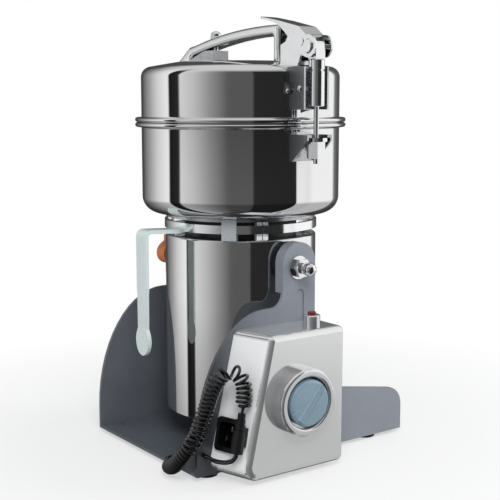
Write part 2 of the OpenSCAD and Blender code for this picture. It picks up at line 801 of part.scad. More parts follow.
module brush_holders() {
    color("#4a3b2a") on_axis() for (m = [0, 1]) mirror([0, m, 0]) intersection() {
        translate([-6, 20 + core_gap, commutator_z + 4]) cube([12, 80, 12]);
        cylinder(r = stator_r, h = 400);
    }
}

module cooling_fan() {
    z = rotor_z - 28;
    color("#2a2c30") on_axis() union() {
        ring(58, shaft_r + seat_gap, z, 2.5);
        ring(14, shaft_r + seat_gap, z, 14);
        for (a = [0:36:324]) rotate([0, 0, a]) translate([13, -1, z]) cube([44, 2, 13]);
    }
}

module motor_shaft() {
    color("silver") on_axis() union() {
        translate([0, 0, low_bearing_z + 1]) cylinder(r = shaft_r, h = spindle_z - low_bearing_z - 1);
        translate([0, 0, spindle_z]) cylinder(r = spindle_r, h = shaft_top - spindle_z);
    }
}

// Swing pins
module swing_pins() {
    color("#c2c6ca") on_axis() difference() {
        for (m = [0, 1]) mirror([0, m, 0]) translate([0, 0, pivot_h]) {
            bar_y(saddle_r, motor_r - 8, ear_in - 1.5 - move_gap);
            bar_y(pin_r, ear_in - 3, washer_y);
            if (m == 0) {
                bar_y(stud_r, washer_y - 1, cap_y);
                bar_y(stud_r - 2, cap_y - 1, cap_y + 6);
            } else bar_y(stud_r, washer_y - 1, clamp_y + clamp_t - 4);
        }
        translate([0, 0, motor_bottom]) cylinder(r = motor_r, h = motor_down + motor_up + 50);
    }
}

module swing_nut() {
    color("silver") on_axis() translate([0, 0, pivot_h]) difference() {
        union() {
            bar_y(13, washer_y, nut_y);
            bar_y(11, nut_y - 0.5, cap_y, 6);
        }
        bar_y(stud_r + seat_gap, washer_y - 1, cap_y + 1);
    }
}

module swing_cap() {
    color("#d7dadd") on_axis() translate([0, -cap_y, pivot_h]) rotate([90, 0, 0]) rotate_extrude()
        polygon(concat([[stud_r - 2 + seat_gap, 0], [6.2, 0], [6.2, 2.5], [5, 4]],
            arc(0, 10, 7.7, -50, 90, 12),
            [[0, 6.5], [stud_r - 2 + seat_gap, 6.5]]));
}

module clamp_nut() {
    color("silver") on_axis() mirror([0, 1, 0]) translate([0, 0, pivot_h]) difference() {
        union() {
            bar_y(13, washer_y, nut_y);
            bar_y(9.5, nut_y - 0.5, clamp_y);
        }
        bar_y(stud_r + run_gap, washer_y - 1, clamp_y + 1);
    }
}

module clamp_lever() {
    lobes = [[[0, 0, 12], [-13.2, -11.5, 14]], [[-8, 0, 8], [-13.5, 9.5, 2.5]],
        [[-6, -19, 8], [-8, -38, 5.5]]];
    color("#dd6a2e") on_axis() mirror([0, 1, 0]) translate([0, 0, pivot_h]) difference() {
        union() {
            bar_y(13, clamp_y, clamp_y + clamp_t);
            for (lobe = lobes) hull() for (p = lobe) translate([p[0], 0, p[1]])
                bar_y(p[2], clamp_y + 3, clamp_y + clamp_t - 3, 32);
        }
        bar_y(stud_r + run_gap, clamp_y - 1, clamp_y + clamp_t - 3.7);
    }
}

// Tilt handle
module tilt_handle() {
    z_bend = band_z - 0.5;
    z_end = z_bend + lever_t - lever_drop;
    bend_r = 8;
    waist_z = z_bend - 62;
    fall = 2;
    paddle_r = lever_w / 2 + 3.5;
    paddle_h = 17;
    color("#c3d0cd") on_axis() difference() {
        intersection() {
            translate([0, lever_w, 0]) rotate([90, 0, 0]) linear_extrude(2 * lever_w) polygon(concat(
                [[-band_r + 6, z_bend - fall]],
                arc(-lever_out + bend_r, z_bend - bend_r + lever_t, bend_r - lever_t, 90, 180, 6),
                [[lever_t - lever_out, z_end], [-lever_out, z_end]],
                arc(-lever_out + bend_r, z_bend - bend_r + lever_t, bend_r, 180, 90, 6),
                [[-band_r + 6, z_bend + lever_t - fall]]));
            translate([-200, 0, 0]) rotate([90, 0, 90]) linear_extrude(200) polygon(concat(
                [[-lever_w / 2, motor_top + 40], [-lever_w / 2, waist_z],
                    [1 - lever_w / 2, waist_z - 8], [1.2 - lever_w / 2, z_end + paddle_h + 14]],
                arc2(0, z_end + paddle_h, paddle_r, paddle_h, 155, 385, 14),
                [[lever_w / 2 - 1.2, z_end + paddle_h + 14], [lever_w / 2 - 1, waist_z - 8],
                    [lever_w / 2, waist_z], [lever_w / 2, motor_top + 40]]));
        }
        cylinder(r = band_r + seat_gap, h = 400);
    }
}

// Bowl
module bowl() {
    ri = bowl_r - bowl_wall;
    rc = bowl_corner;
    rim_low = joint_z - move_gap / 2 - rim_t;
    rim_top = joint_z - move_gap / 2;
    color("#d4d7da") on_axis() rotate_extrude($fn = 128) polygon(concat(
        [[shaft_r + 3, bowl_z]],
        arc(bowl_r - rc, bowl_z + rc, rc, 270, 360, 10),
        [[bowl_r, rim_low]],
        arc(rim_r - rim_t / 2, rim_low + rim_t / 2, rim_t / 2, 270, 450, 10),
        [[ri, rim_top]],
        arc(bowl_r - rc, bowl_z + rc, rc - bowl_wall, 360, 270, 10),
        [[shaft_r + 5, bowl_z + bowl_wall], [shaft_r + 5, bowl_z + 8], [shaft_r + 3, bowl_z + 8]]));
}

// Everything inside the bowl's and the lid's outer skin, for pieces that seat on it
module bowl_skin() {
    cylinder(r = bowl_r + 0.15, h = joint_z, $fn = 256);
}

module lid_skin() {
    rotate_extrude($fn = 128) polygon(lid_outline(0));
}

function lid_outline(t) = concat([[0, joint_z], [bowl_r - t, joint_z]],
    arc(bowl_r - lid_corner, lid_top - 5 - lid_corner, lid_corner - t, 0, 75, 8),
    [[75, lid_top - t], [0, lid_top - t]]);

module latch_catch() {
    w = 2 * guide_half;
    rib_z = catch_z - 26;
    slot_end = latch_y - slot_half - 2.1;
    color("#c9cccf") on_axis() difference() {
        union() {
            cross_plate(w) polygon([[-bowl_r - sheet_t, rib_z], [-bowl_r - sheet_t, catch_z],
                [-catch_reach, catch_z], [-catch_reach, catch_z + catch_t],
                [-bowl_r + 3, catch_z + catch_t], [-bowl_r + 3, rib_z]]);
            for (m = [0, 1]) mirror([m, 0, 0]) translate([sheet_t / 2 - guide_half, 0, 0])
                cross_plate(sheet_t) polygon([[-bowl_r + 3, rib_z], [-bowl_r - 4, rib_z],
                    [4 - catch_reach, catch_z - 7], [-catch_reach, catch_z - 3],
                    [-catch_reach, catch_z + 1], [-bowl_r + 3, catch_z + 1]]);
        }
        translate([0, -slot_end - slot_half, catch_z - 1]) cylinder(r = slot_half, h = catch_t + 2);
        translate([-slot_half, -slot_end - slot_half - 40, catch_z - 1])
            cube([2 * slot_half, 40, catch_t + 2]);
        bowl_skin();
    }
}

knuckle_half = 8.7;
post_t = 3;

module hinge_post() {
    cheek = knuckle_half + move_gap + post_t / 2;
    low = joint_z - 55;
    color("#bfc3c7") on_axis() difference() {
        union() {
            for (x = [-cheek, cheek]) translate([x, 0, 0]) cross_plate(post_t) polygon(concat(
                [[bowl_r - 4, low], [bowl_r + 8, low], [hinge_y + 9, low + 26]],
                arc(hinge_y, hinge_z, 9, 0, 180, 10),
                [[hinge_y - 9, joint_z - 9], [bowl_r - 4, joint_z - 9]]));
            cross_plate(2 * cheek) polygon([[bowl_r - 4, low], [bowl_r + post_t, low],
                [bowl_r + post_t, joint_z - 9], [bowl_r - 4, joint_z - 9]]);
            cross_plate(2 * cheek) polygon([[hinge_y + 6, low + 30], [hinge_y + 9, low + 30],
                [hinge_y + 9, hinge_z - 22], [hinge_y + 6, hinge_z - 22]]);
        }
        bowl_skin();
        translate([0, hinge_y, hinge_z]) bar_x(4 + seat_gap, 60);
    }
}

module hinge_pin() {
    half = knuckle_half + move_gap + post_t;
    color("silver") on_axis() translate([0, hinge_y, hinge_z]) {
        bar_x(4, 2 * half + 2);
        for (m = [0, 1]) mirror([m, 0, 0]) translate([half, 0, 0]) rotate([0, 90, 0])
            cylinder(r1 = 6, r2 = 5, h = 2);
    }
}

// Blades, on the spindle inside the bowl
lower_z = bowl_z + 11;
upper_z = lower_z + 17;
blade_reach = bowl_r - bowl_corner - 4;
blade_t = 3;

// One arm of a blade: a tapered plate with its leading edge ground to a bevel
module blade_arm(reach, root, tip, t) {
    difference() {
        linear_extrude(t) polygon([[-root / 2, 0], [root / 2, 0], [root / 2 - 1, reach - 14],
            [tip / 2 - 4, reach], [-tip / 2, reach - 5]]);
        translate([root / 2 - 1, -1, t]) rotate([0, 0, 0.6]) rotate([0, 22, 0])
            translate([-8, 0, 0]) cube([20, reach + 10, 8]);
    }
}

module lower_blade() {
    color("#c9cdd1") on_axis() translate([0, 0, lower_z]) difference() {
        union() {
            cylinder(r = 16, h = blade_t);
            for (a = [0, 180]) rotate([0, 0, a]) blade_arm(blade_reach, 24, 20, blade_t);
        }
        translate([0, 0, -1]) cylinder(r = spindle_r + seat_gap, h = blade_t + 2);
    }
}

module upper_blade() {
    color("#c9cdd1") on_axis() translate([0, 0, upper_z]) rotate([0, 0, 90]) difference() {
        union() {
            cylinder(r = 15, h = blade_t);
            for (a = [0, 180]) rotate([0, 0, a]) {
                translate([-10, 0, 0]) cube([20, 45, blade_t]);
                translate([0, 44.4, 0]) rotate([28, 0, 0]) blade_arm(42, 20, 16, blade_t);
            }
        }
        translate([0, 0, -1]) cylinder(r = spindle_r + seat_gap, h = blade_t + 2);
    }
}

module blade_hub() {
    color("#aeb3b8") on_axis() {
        ring(13, spindle_r + seat_gap, bowl_z + 8.4, lower_z - bowl_z - 8.4);
        ring(11, spindle_r + seat_gap, lower_z + blade_t, upper_z - lower_z - blade_t);
    }
}

module blade_nut() {
    z = upper_z + blade_t;
    color("silver") on_axis() difference() {
        union() {
            translate([0, 0, z]) cylinder(r = 13, h = 9, $fn = 6);
            translate([0, 0, z + 9]) intersection() {
                translate([0, 0, -4]) sphere(r = 12);
                cylinder(r = 11, h = 10);
            }
        }
        translate([0, 0, z - 1]) cylinder(r = spindle_r + seat_gap, h = shaft_top - z + 1.5);
    }
}

// Lid
module lid_shell() {
    rim_low = joint_z + move_gap / 2;
    color("#d4d7da") on_axis() rotate_extrude($fn = 128) polygon(concat(
        [[bowl_r - bowl_wall, rim_low + 1.5], [bowl_r - bowl_wall + 0.2, rim_low + 1.5],
            [bowl_r + 3.2, rim_low + 1.5], [bowl_r + 3.2, rim_low]],
        arc(rim_r - rim_t / 2, rim_low + rim_t / 2, rim_t / 2, 270, 450, 10),
        [[bowl_r, rim_low + rim_t]],
        arc(bowl_r - lid_corner, lid_top - 5 - lid_corner, lid_corner, 0, 75, 8),
        [[75, lid_top], [0, lid_top], [0, lid_top - bowl_wall], [75, lid_top - bowl_wall]],
        arc(bowl_r - lid_corner, lid_top - 5 - lid_corner, lid_corner - bowl_wall, 75, 0, 8)));
}

module lid_gasket() {
    color("#e8e6df") on_axis()
        ring(bowl_r + 3.2, bowl_r - bowl_wall, joint_z + move_gap / 2, 1.5);
}

module grip_outline() {
    inner = 4;
    polygon(concat(
        [[leg_front, lid_top - 12]],
        arc(leg_front + 6, grip_top(leg_front + 6) - 6, 6, 180, 95, 5),
        [for (y = [-60:20:80]) [y, grip_top(y)]],
        [[leg_back + 4, grip_top(leg_back)], [hinge_y - 15, lid_top + 3], [hinge_y - 1, hinge_z + 8],
            [hinge_y - 7.5, hinge_z - 3], [hinge_y - 19, lid_top - 6], [leg_back, lid_top - 12]],
        arc(leg_back - inner, grip_top(leg_back - inner) - grip_t - inner, inner, 0, 80, 4),
        [for (y = [60:-20:-40]) [y, grip_top(y) - grip_t]],
        arc(leg_front + grip_t + inner, grip_top(-60) - grip_t - inner, inner, 95, 180, 4),
        [[leg_front + grip_t, lid_top - 12]]));
}

function grip_top(y) = grip_z - (y - arch_y) * (y - arch_y) / (2 * arch_r);

// The carrying handle is faced off flat under its cap nut
stud_y = 50;
seat_z = grip_top(stud_y + 7);

module lid_handle() {
    color("#d9dcdf") on_axis() difference() {
        union() {
            intersection() {
                cross_plate(grip_w) grip_outline();
                translate([-grip_w / 2, -200, lid_top - 30]) cube([grip_w, 200 + hinge_y - 13, 100]);
            }
            intersection() {
                cross_plate(2 * knuckle_half) grip_outline();
                translate([-grip_w, hinge_y - 15, lid_top - 40]) cube([2 * grip_w, 40, 80]);
            }
            translate([0, hinge_y, hinge_z]) bar_x(8, 2 * knuckle_half);
        }
        lid_skin();
        translate([0, hinge_y, hinge_z]) bar_x(4 + run_gap, 60);
        translate([0, stud_y, lid_top]) cylinder(r = 3 + seat_gap, h = 60);
        translate([0, stud_y, seat_z]) cylinder(r = 8.5, h = 20);
    }
}

module handle_block() {
    w = grip_w - 2;
    color("#c4c8cc") on_axis() difference() {
        cross_plate(w) polygon([[40, lid_top], [leg_back - 0.1, lid_top],
            [leg_back - 0.1, grip_top(leg_back - 4) - grip_t - 4.5],
            [66, grip_top(70) - grip_t - 0.3],
            [58, grip_top(60) - grip_t - 0.3], [40, grip_top(60) - grip_t - 0.3]]);
        lid_skin();
        translate([0, stud_y, lid_top - 1]) cylinder(r = 3 + seat_gap, h = 60);
    }
}

module handle_cap_nut() {
    color("silver") on_axis() translate([0, stud_y, 0]) {
        translate([0, 0, lid_top + 2]) cylinder(r = 3, h = seat_z - lid_top);
        translate([0, 0, seat_z]) cylinder(r = 7, h = 5, $fn = 6);
        translate([0, 0, seat_z + 5]) intersection() {
            cylinder(r = 6, h = 8);
            translate([0, 0, -1]) sphere(r = 7.2);
        }
    }
}

// Latch
cheek_in = barrel_r - 2.1;
cheek_out = latch_half - sheet_t - move_gap;

module latch_bracket() {
    w = cheek_out - cheek_in;
    color("#dcdfe2") on_axis() difference() {
        union() {
            for (m = [0, 1]) mirror([m, 0, 0]) translate([(cheek_in + cheek_out) / 2, 0, 0])
                cross_plate(w) polygon(concat(
                    [[leg_front, lid_top - 14], [leg_front, lid_top + 16], [leg_front - 16, lid_top + 22]],
                    arc(-lever_pin_y, lever_pin_z, 8.5, 60, 290, 12),
                    [[-bowl_r - 6.5, lid_top + 1], [-bowl_r - 4, lid_top - 4],
                        [-bowl_r - 2, lid_top - 7.6], [15 - bowl_r, lid_top - 7.6]]));
            cross_plate(2 * cheek_out) polygon([[leg_front, lid_top - 14],
                [leg_front, lid_top + 16], [leg_front - 3, lid_top + 16],
                [leg_front - 3, lid_top + 2.5], [9 - bowl_r, lid_top - 1], [9 - bowl_r, lid_top - 14]]);
        }
        lid_skin();
        translate([0, -lever_pin_y, lever_pin_z]) bar_x(3.5 + seat_gap, 60);
    }
}

module latch_guide() {
    w = 2 * guide_half;
    z0 = joint_z + 15;
    h = 45;
    color("#aeb2b6") on_axis() difference() {
        union() {
            translate([-guide_half, -bowl_r - sheet_t, z0]) cube([w, sheet_t + 6, h]);
            for (x = [-guide_half, guide_half - sheet_t])
                translate([x, -latch_y, z0]) cube([sheet_t, latch_y - bowl_r + 5, h]);
            intersection() {
                translate([-guide_half - 6, -bowl_r - 6, z0 + 16]) cube([w + 12, 20, 13]);
                cylinder(r = bowl_r + sheet_t, h = 600);
            }
        }
        lid_skin();
        for (x = [-1, 1]) {
            translate([x * guide_half, -latch_y + 6.8, z0 + 22.5]) bar_x(2 + seat_gap, 12);
        }
    }
}

// How far the lever reaches back from the latch axis, and its outline's other places from there
lever_reach = 85.9;

module latch_lever() {
    end = lever_reach - latch_y;
    top = [[end, lid_top + 48.6], [54.4 - latch_y, lid_top + 42.8],
        [16.4 - latch_y, lid_top + 34.3]];
    nose = arc(-latch_y, link_pin_z, 12, 75, 285, 14);
    color("#e1e4e6") on_axis() difference() {
        union() {
            for (m = [0, 1]) mirror([m, 0, 0]) translate([latch_half - sheet_t / 2, 0, 0])
                cross_plate(sheet_t) polygon(concat(top, nose,
                    [[11.4 - latch_y, link_pin_z - 8.5], [19.4 - latch_y, lid_top + 9],
                        [29.4 - latch_y, lid_top + 20], [40.4 - latch_y, lid_top + 29.5],
                        [48.4 - latch_y, lid_top + 35.5], [54.4 - latch_y, lid_top + 39],
                        [70.4 - latch_y, lid_top + 43.5]]));
            cross_plate(2 * latch_half) polygon(concat(top,
                arc(-latch_y, link_pin_z, 12, 75, 110, 3),
                arc(-latch_y, link_pin_z, 12 - sheet_t, 110, 75, 3),
                [[17.4 - latch_y, lid_top + 34.3 - sheet_t],
                    [54.4 - latch_y, lid_top + 42.8 - sheet_t],
                    [end - 1, lid_top + 48.4 - sheet_t]]));
            for (m = [0, 1]) mirror([m, 0, 0]) {
                translate([latch_half, -latch_y, link_pin_z]) rotate([0, 90, 0])
                    cylinder(r1 = 7.9, r2 = 6.4, h = 2);
                translate([latch_half - 0.5, -lever_pin_y, lever_pin_z]) rotate([0, 90, 0])
                    cylinder(r = 4.6, h = 1.3);
            }
            translate([0, -latch_y, link_pin_z]) bar_x(3.5, 2 * latch_half);
            translate([0, -lever_pin_y, lever_pin_z]) bar_x(3.5 - run_gap + seat_gap, 2 * latch_half);
        }
        translate([0, 0, lid_top + 30]) linear_extrude(30) difference() {
            translate([-20, end - 9.5]) square([40, 40]);
            hull() for (x = [5 - latch_half, latch_half - 5]) {
                translate([x, end - 5]) circle(r = 5);
                translate([x - 5, end - 13.5]) square([10, 2]);
            }
        }
    }
}

module latch_barrel() {
    z0 = barrel_top - barrel_len;
    color("#cfd3d6") on_axis() difference() {
        union() {
            translate([0, -latch_y, 0]) rotate_extrude() polygon([[0, z0], [barrel_r - 0.8, z0],
                [barrel_r, z0 + 0.8], [barrel_r, barrel_top - 13], [barrel_r - 0.7, barrel_top - 12.3],
                [barrel_r - 0.7, barrel_top - 11.7], [barrel_r, barrel_top - 11],
                [barrel_r, barrel_top - 1], [barrel_r - 1, barrel_top], [0, barrel_top]]);
            translate([0, -latch_y, 0]) cylinder(r = rod_r, h = z0 + 1);
            cross_plate(2 * cheek_in - 2 * move_gap) polygon(concat(
                [[-latch_y - 6, barrel_top - 1]], arc(-latch_y, link_pin_z, 6.5, 180, 0, 10),
                [[-latch_y + 6, barrel_top - 1]]));
        }
        translate([0, -latch_y, link_pin_z]) bar_x(3.5 + run_gap, 60);
        translate([-20, -latch_y - 20, -1]) cube([40, 40, catch_z - 27]);
    }
}

// The nut's flange is long one way and short the other, so a quarter turn frees it from the slot
module latch_nut() {
    h = 22;
    color("#d5d8db") on_axis() translate([0, -latch_y, 0]) difference() {
        union() {
            translate([0, 0, nut_z - h]) cylinder(r = slot_half - 0.5, h = h, $fn = 6);
            translate([0, 0, nut_z - 4]) intersection() {
                cylinder(r = slot_half + 1.5, h = 4);
                translate([0.5 - slot_half, -30, 0]) cube([2 * slot_half - 1, 60, 4]);
            }
        }
        translate([0, 0, nut_z - h - 1]) cylinder(r = rod_r + run_gap, h = h + 2);
    }
}

cradle_floor();
front_side_plate();
back_side_plate();
rubber_feet();
foot_bolts();
swing_bushes();
control_box();
box_screws();
timer_bezel();
timer_mechanism();
reset_collar();
reset_breaker();
mains_inlet();
inlet_blades();
cord_boot();
link_lead();
curly_cord();
motor_lead();
timer_knob();
timer_shaft();
reset_button();
motor_housing();
bottom_cover();
neck_casting();
neck_band();
band_clamp();
joining_lugs();
bowl_disc();
bowl();
latch_catch();
hinge_post();
hinge_pin();
stator();
shaft_bearings();
brush_holders();
swing_pins();
swing_nut();
swing_cap();
tilt_handle();
cord_gland();
motor_shaft();
rotor_core();
commutator();
cooling_fan();
blade_hub();
lower_blade();
upper_blade();
blade_nut();
lid_shell();
lid_gasket();
lid_handle();
handle_block();
handle_cap_nut();
latch_bracket();
latch_guide();
latch_lever();
latch_barrel();
latch_nut();
clamp_nut();
clamp_lever();
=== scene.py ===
import math

import bmesh
import bpy
from mathutils import Matrix, Vector


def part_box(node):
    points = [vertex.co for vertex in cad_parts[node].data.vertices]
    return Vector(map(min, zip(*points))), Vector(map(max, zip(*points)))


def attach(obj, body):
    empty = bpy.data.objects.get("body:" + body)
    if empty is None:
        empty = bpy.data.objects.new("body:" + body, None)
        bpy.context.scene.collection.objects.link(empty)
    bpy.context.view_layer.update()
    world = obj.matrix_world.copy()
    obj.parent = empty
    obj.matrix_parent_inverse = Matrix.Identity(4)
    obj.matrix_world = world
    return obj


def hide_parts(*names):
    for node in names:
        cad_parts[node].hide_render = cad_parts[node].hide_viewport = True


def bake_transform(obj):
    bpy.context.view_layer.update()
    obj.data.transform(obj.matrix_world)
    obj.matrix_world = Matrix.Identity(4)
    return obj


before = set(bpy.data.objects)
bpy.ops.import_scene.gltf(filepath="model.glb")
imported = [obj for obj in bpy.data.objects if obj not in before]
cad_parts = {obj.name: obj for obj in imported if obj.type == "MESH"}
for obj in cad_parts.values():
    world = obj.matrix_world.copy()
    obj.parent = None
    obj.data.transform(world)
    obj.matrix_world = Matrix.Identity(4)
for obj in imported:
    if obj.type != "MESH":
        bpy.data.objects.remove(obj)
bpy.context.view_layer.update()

MM = 0.001
# The upright axis of bowl and motor, from which every place below is counted in millimetres
AXIS = Vector((-0.0127, 0.0125, 0.0))


def at(x, y, z):
    """A point of the scene, from its millimetres beside and above the foot of the axis."""
    return AXIS + Vector((x, y, z)) * MM


# Camera, fitted to the outlines of bowl, lid, motor, cradle and box

CAMERA_PLACE = (-714.5, -999.6, 401.6)
CAMERA_LOOK = (0.5829, 0.8000, -0.1418)
CAMERA_LENS = 75.18
CAMERA_SENSOR = 36


def place_camera():
    data = bpy.data.cameras.new("camera")
    data.sensor_width = CAMERA_SENSOR
    data.lens = CAMERA_LENS
    data.clip_start = 0.05
    data.clip_end = 50
    camera = bpy.data.objects.new("camera", data)
    bpy.context.scene.collection.objects.link(camera)
    forward = Vector(CAMERA_LOOK).normalized()
    right = forward.cross(Vector((0, 0, 1))).normalized()
    turn = Matrix((right, right.cross(forward), -forward)).transposed()
    camera.matrix_world = Matrix.Translation(at(*CAMERA_PLACE)) @ turn.to_4x4()
    bpy.context.scene.camera = camera


place_camera()


# Shader groups

class Sheet:
    """The nodes of one material, shader group or world, laid out from left to right."""

    def __init__(self, tree):
        self.tree = tree
        self.x = -1600
        tree.nodes.clear()

    def add(self, kind, inputs=None, **settings):
        """A new node. Each input is a number or colour, or the node or socket that feeds it."""
        node = self.tree.nodes.new(kind)
        node.location = (self.x, 0)
        self.x += 170
        for name, value in settings.items():
            setattr(node, name, value)
        for name, value in (inputs or {}).items():
            if isinstance(value, bpy.types.NodeSocket):
                self.tree.links.new(value, node.inputs[name])
            elif isinstance(value, bpy.types.Node):
                self.tree.links.new(value.outputs[0], node.inputs[name])
            else:
                node.inputs[name].default_value = value
        return node

    def math(self, operation, *values):
        return self.add("ShaderNodeMath", dict(enumerate(values)), operation=operation)

    def remap(self, value, low, high, to_low, to_high):
        return self.add("ShaderNodeMapRange", {0: value, 1: low, 2: high, 3: to_low, 4: to_high})

    def mix_colour(self, factor, a, b, blend="MIX"):
        """A Mix node set to colours, whose factor is input 0 and whose colours are 6 and 7."""
        node = self.add("ShaderNodeMix", {0: factor, 6: a, 7: b}, data_type="RGBA",
                        blend_type=blend)
        return node.outputs[2]


def shader_group(name, inputs, outputs):
    """A node group with the named inputs and outputs: its tree, its sheet and its input node."""
    tree = bpy.data.node_groups.new(name, "ShaderNodeTree")
    for kind, direction in ((inputs, "INPUT"), (outputs, "OUTPUT")):
        for socket_name, socket_kind, *value in kind:
            socket = tree.interface.new_socket(name=socket_name, in_out=direction,
                                               socket_type="NodeSocket" + socket_kind)
            if value:
                socket.default_value = value[0]
    sheet = Sheet(tree)
    return tree, sheet, sheet.add("NodeGroupInput")


def make_handling():
    """Faint smears and cloudiness where the surface is touched: a roughness and a tone."""
    tree, s, given = shader_group(
        "handling",
        [("Scale", "Float", 30.0), ("Clean", "Float", 0.05), ("Smeared", "Float", 0.12),
         ("Tone", "Float", 0.04)],
        [("Roughness", "Float"), ("Tone", "Float")])
    place = s.add("ShaderNodeTexCoord").outputs["Object"]
    cloud = s.add("ShaderNodeTexNoise", {"Vector": place, "Scale": given.outputs["Scale"],
                                         "Detail": 5.0, "Roughness": 0.6})
    rough = s.remap(cloud.outputs["Fac"], 0.42, 0.72, given.outputs["Clean"],
                    given.outputs["Smeared"])
    fall = s.math("MULTIPLY", s.remap(cloud.outputs["Fac"], 0.35, 0.7, 0.0, 1.0),
                  given.outputs["Tone"])
    tone = s.math("SUBTRACT", 1.0, fall)
    s.add("NodeGroupOutput", {"Roughness": rough, "Tone": tone})
    return tree


def make_grain():
    """Fine bumps: stretched into streaks on brushed metal, even on paint and moulded plastic."""
    tree, s, given = shader_group(
        "grain",
        [("Scale", "Float", 900.0), ("Stretch", "Vector", (1.0, 1.0, 1.0)),
         ("Strength", "Float", 0.1), ("Depth", "Float", 0.0002)],
        [("Normal", "Vector")])
    place = s.add("ShaderNodeTexCoord").outputs["Object"]
    pulled = s.add("ShaderNodeVectorMath", {0: place, 1: given.outputs["Stretch"]},
                   operation="MULTIPLY")
    noise = s.add("ShaderNodeTexNoise", {"Vector": pulled, "Scale": given.outputs["Scale"],
                                         "Detail": 3.0})
    bump = s.add("ShaderNodeBump", {"Strength": given.outputs["Strength"],
                                    "Distance": given.outputs["Depth"],
                                    "Height": noise.outputs["Fac"]})
    s.add("NodeGroupOutput", {"Normal": bump})
    return tree


def make_settled_dust():
    """A trace of dust on faces that look up: how much of it lies there."""
    tree, s, given = shader_group("settled dust", [("Amount", "Float", 0.2)],
                                  [("Mask", "Float")])
    up = s.add("ShaderNodeSeparateXYZ", {0: s.add("ShaderNodeNewGeometry").outputs["Normal"]})
    place = s.add("ShaderNodeTexCoord").outputs["Object"]
    speck = s.add("ShaderNodeTexNoise", {"Vector": place, "Scale": 220.0, "Detail": 6.0})
    lying = s.remap(up.outputs["Z"], 0.6, 1.0, 0.0, 1.0)
    patchy = s.remap(speck.outputs["Fac"], 0.4, 0.75, 0.2, 1.0)
    share = s.math("MULTIPLY", s.math("MULTIPLY", lying, patchy), given.outputs["Amount"])
    s.add("NodeGroupOutput", {"Mask": share})
    return tree


def make_side():
    """One value on faces that look towards -X and another on the rest, which paints shade or
    light on those faces or sets their metallic share. Full and Ended are the X of a face's
    normal where the first is full and where it has ended."""
    tree, s, given = shader_group(
        "side",
        [("Full", "Float", -0.97), ("Ended", "Float", -0.85), ("Side", "Float", 0.5),
         ("Elsewhere", "Float", 1.0)],
        [("Value", "Float")])
    facing = s.add("ShaderNodeSeparateXYZ",
                   {0: s.add("ShaderNodeNewGeometry").outputs["Normal"]})
    value = s.remap(facing.outputs["X"], given.outputs["Full"], given.outputs["Ended"],
                    given.outputs["Side"], given.outputs["Elsewhere"])
    s.add("NodeGroupOutput", {"Value": value})
    return tree


handling = make_handling()
grain = make_grain()
settled_dust = make_settled_dust()
side = make_side()


def srgb(code):
    """A colour as it is seen, such as 8A8E96, as the linear values that Blender wants."""
    parts = [int(code[i:i + 2], 16) / 255 for i in (0, 2, 4)]
    return [c / 12.92 if c <= 0.04045 else ((c + 0.055) / 1.055) ** 2.4 for c in parts] + [1.0]


# Depth of the grain in metres
GRAIN_DEPTH = 0.0002


def finish(name, colour, rough, smeared, metallic=0.0, tone=0.08, scale=30.0, grains=900.0,
           stretch=(1, 1, 1), bump=0.1, dust=0.0, painted_shade_along_x=None, matt_side=None, painted_side_shade=None,
           **sockets):
    """A material: base colour with cloudy handling marks, grain, a little dust and any painted
    shade.

    rough and smeared are the roughness of clean and of handled places. painted_shade_along_x
    is two places along X in metres and the tone at the first, which rises to full at the
    second: painted shade. On faces that look towards -X, matt_side is the metallic share that
    is left and painted_side_shade the tone: painted shade below 1 and painted light above it.
    Other names are set on the shader's own sockets."""
    material = bpy.data.materials.new(name)
    material.use_nodes = True
    s = Sheet(material.node_tree)
    marks = s.add("ShaderNodeGroup", {"Scale": scale, "Clean": rough, "Smeared": smeared,
                                      "Tone": tone}, node_tree=handling)
    bumps = s.add("ShaderNodeGroup", {"Scale": grains, "Stretch": stretch, "Strength": bump,
                                      "Depth": GRAIN_DEPTH}, node_tree=grain)
    level = marks.outputs["Tone"]
    # Painted shade: the tone falls towards one end along X.
    if painted_shade_along_x:
        along = s.add("ShaderNodeSeparateXYZ",
                      {0: s.add("ShaderNodeTexCoord").outputs["Object"]}).outputs["X"]
        level = s.math("MULTIPLY", level, s.remap(along, *painted_shade_along_x, 1.0))
    # Painted shade on faces that look towards -X, or painted light where the tone is above 1.
    if painted_side_shade is not None:
        level = s.math("MULTIPLY", level, s.add("ShaderNodeGroup", {
            "Full": -0.97, "Ended": -0.85, "Side": painted_side_shade, "Elsewhere": 1.0}, node_tree=side))
    shade = s.add("ShaderNodeCombineColor", {0: level, 1: level, 2: level})
    base = s.mix_colour(1.0, srgb(colour), shade, "MULTIPLY")
    if dust:
        lying = s.add("ShaderNodeGroup", {"Amount": dust}, node_tree=settled_dust)
        base = s.mix_colour(lying, base, srgb("B9B6AE"))
    if matt_side is not None:
        metallic = s.add("ShaderNodeGroup", {
            "Full": -0.94, "Ended": -0.86, "Side": matt_side, "Elsewhere": metallic},
            node_tree=side)
    shader = s.add("ShaderNodeBsdfPrincipled", {
        "Base Color": base, "Roughness": marks.outputs["Roughness"],
        "Normal": bumps.outputs["Normal"], "Metallic": metallic})
    for key, value in sockets.items():
        shader.inputs[key.replace("_", " ")].default_value = value
    s.add("ShaderNodeOutputMaterial", {"Surface": shader})
    return material


# Materials

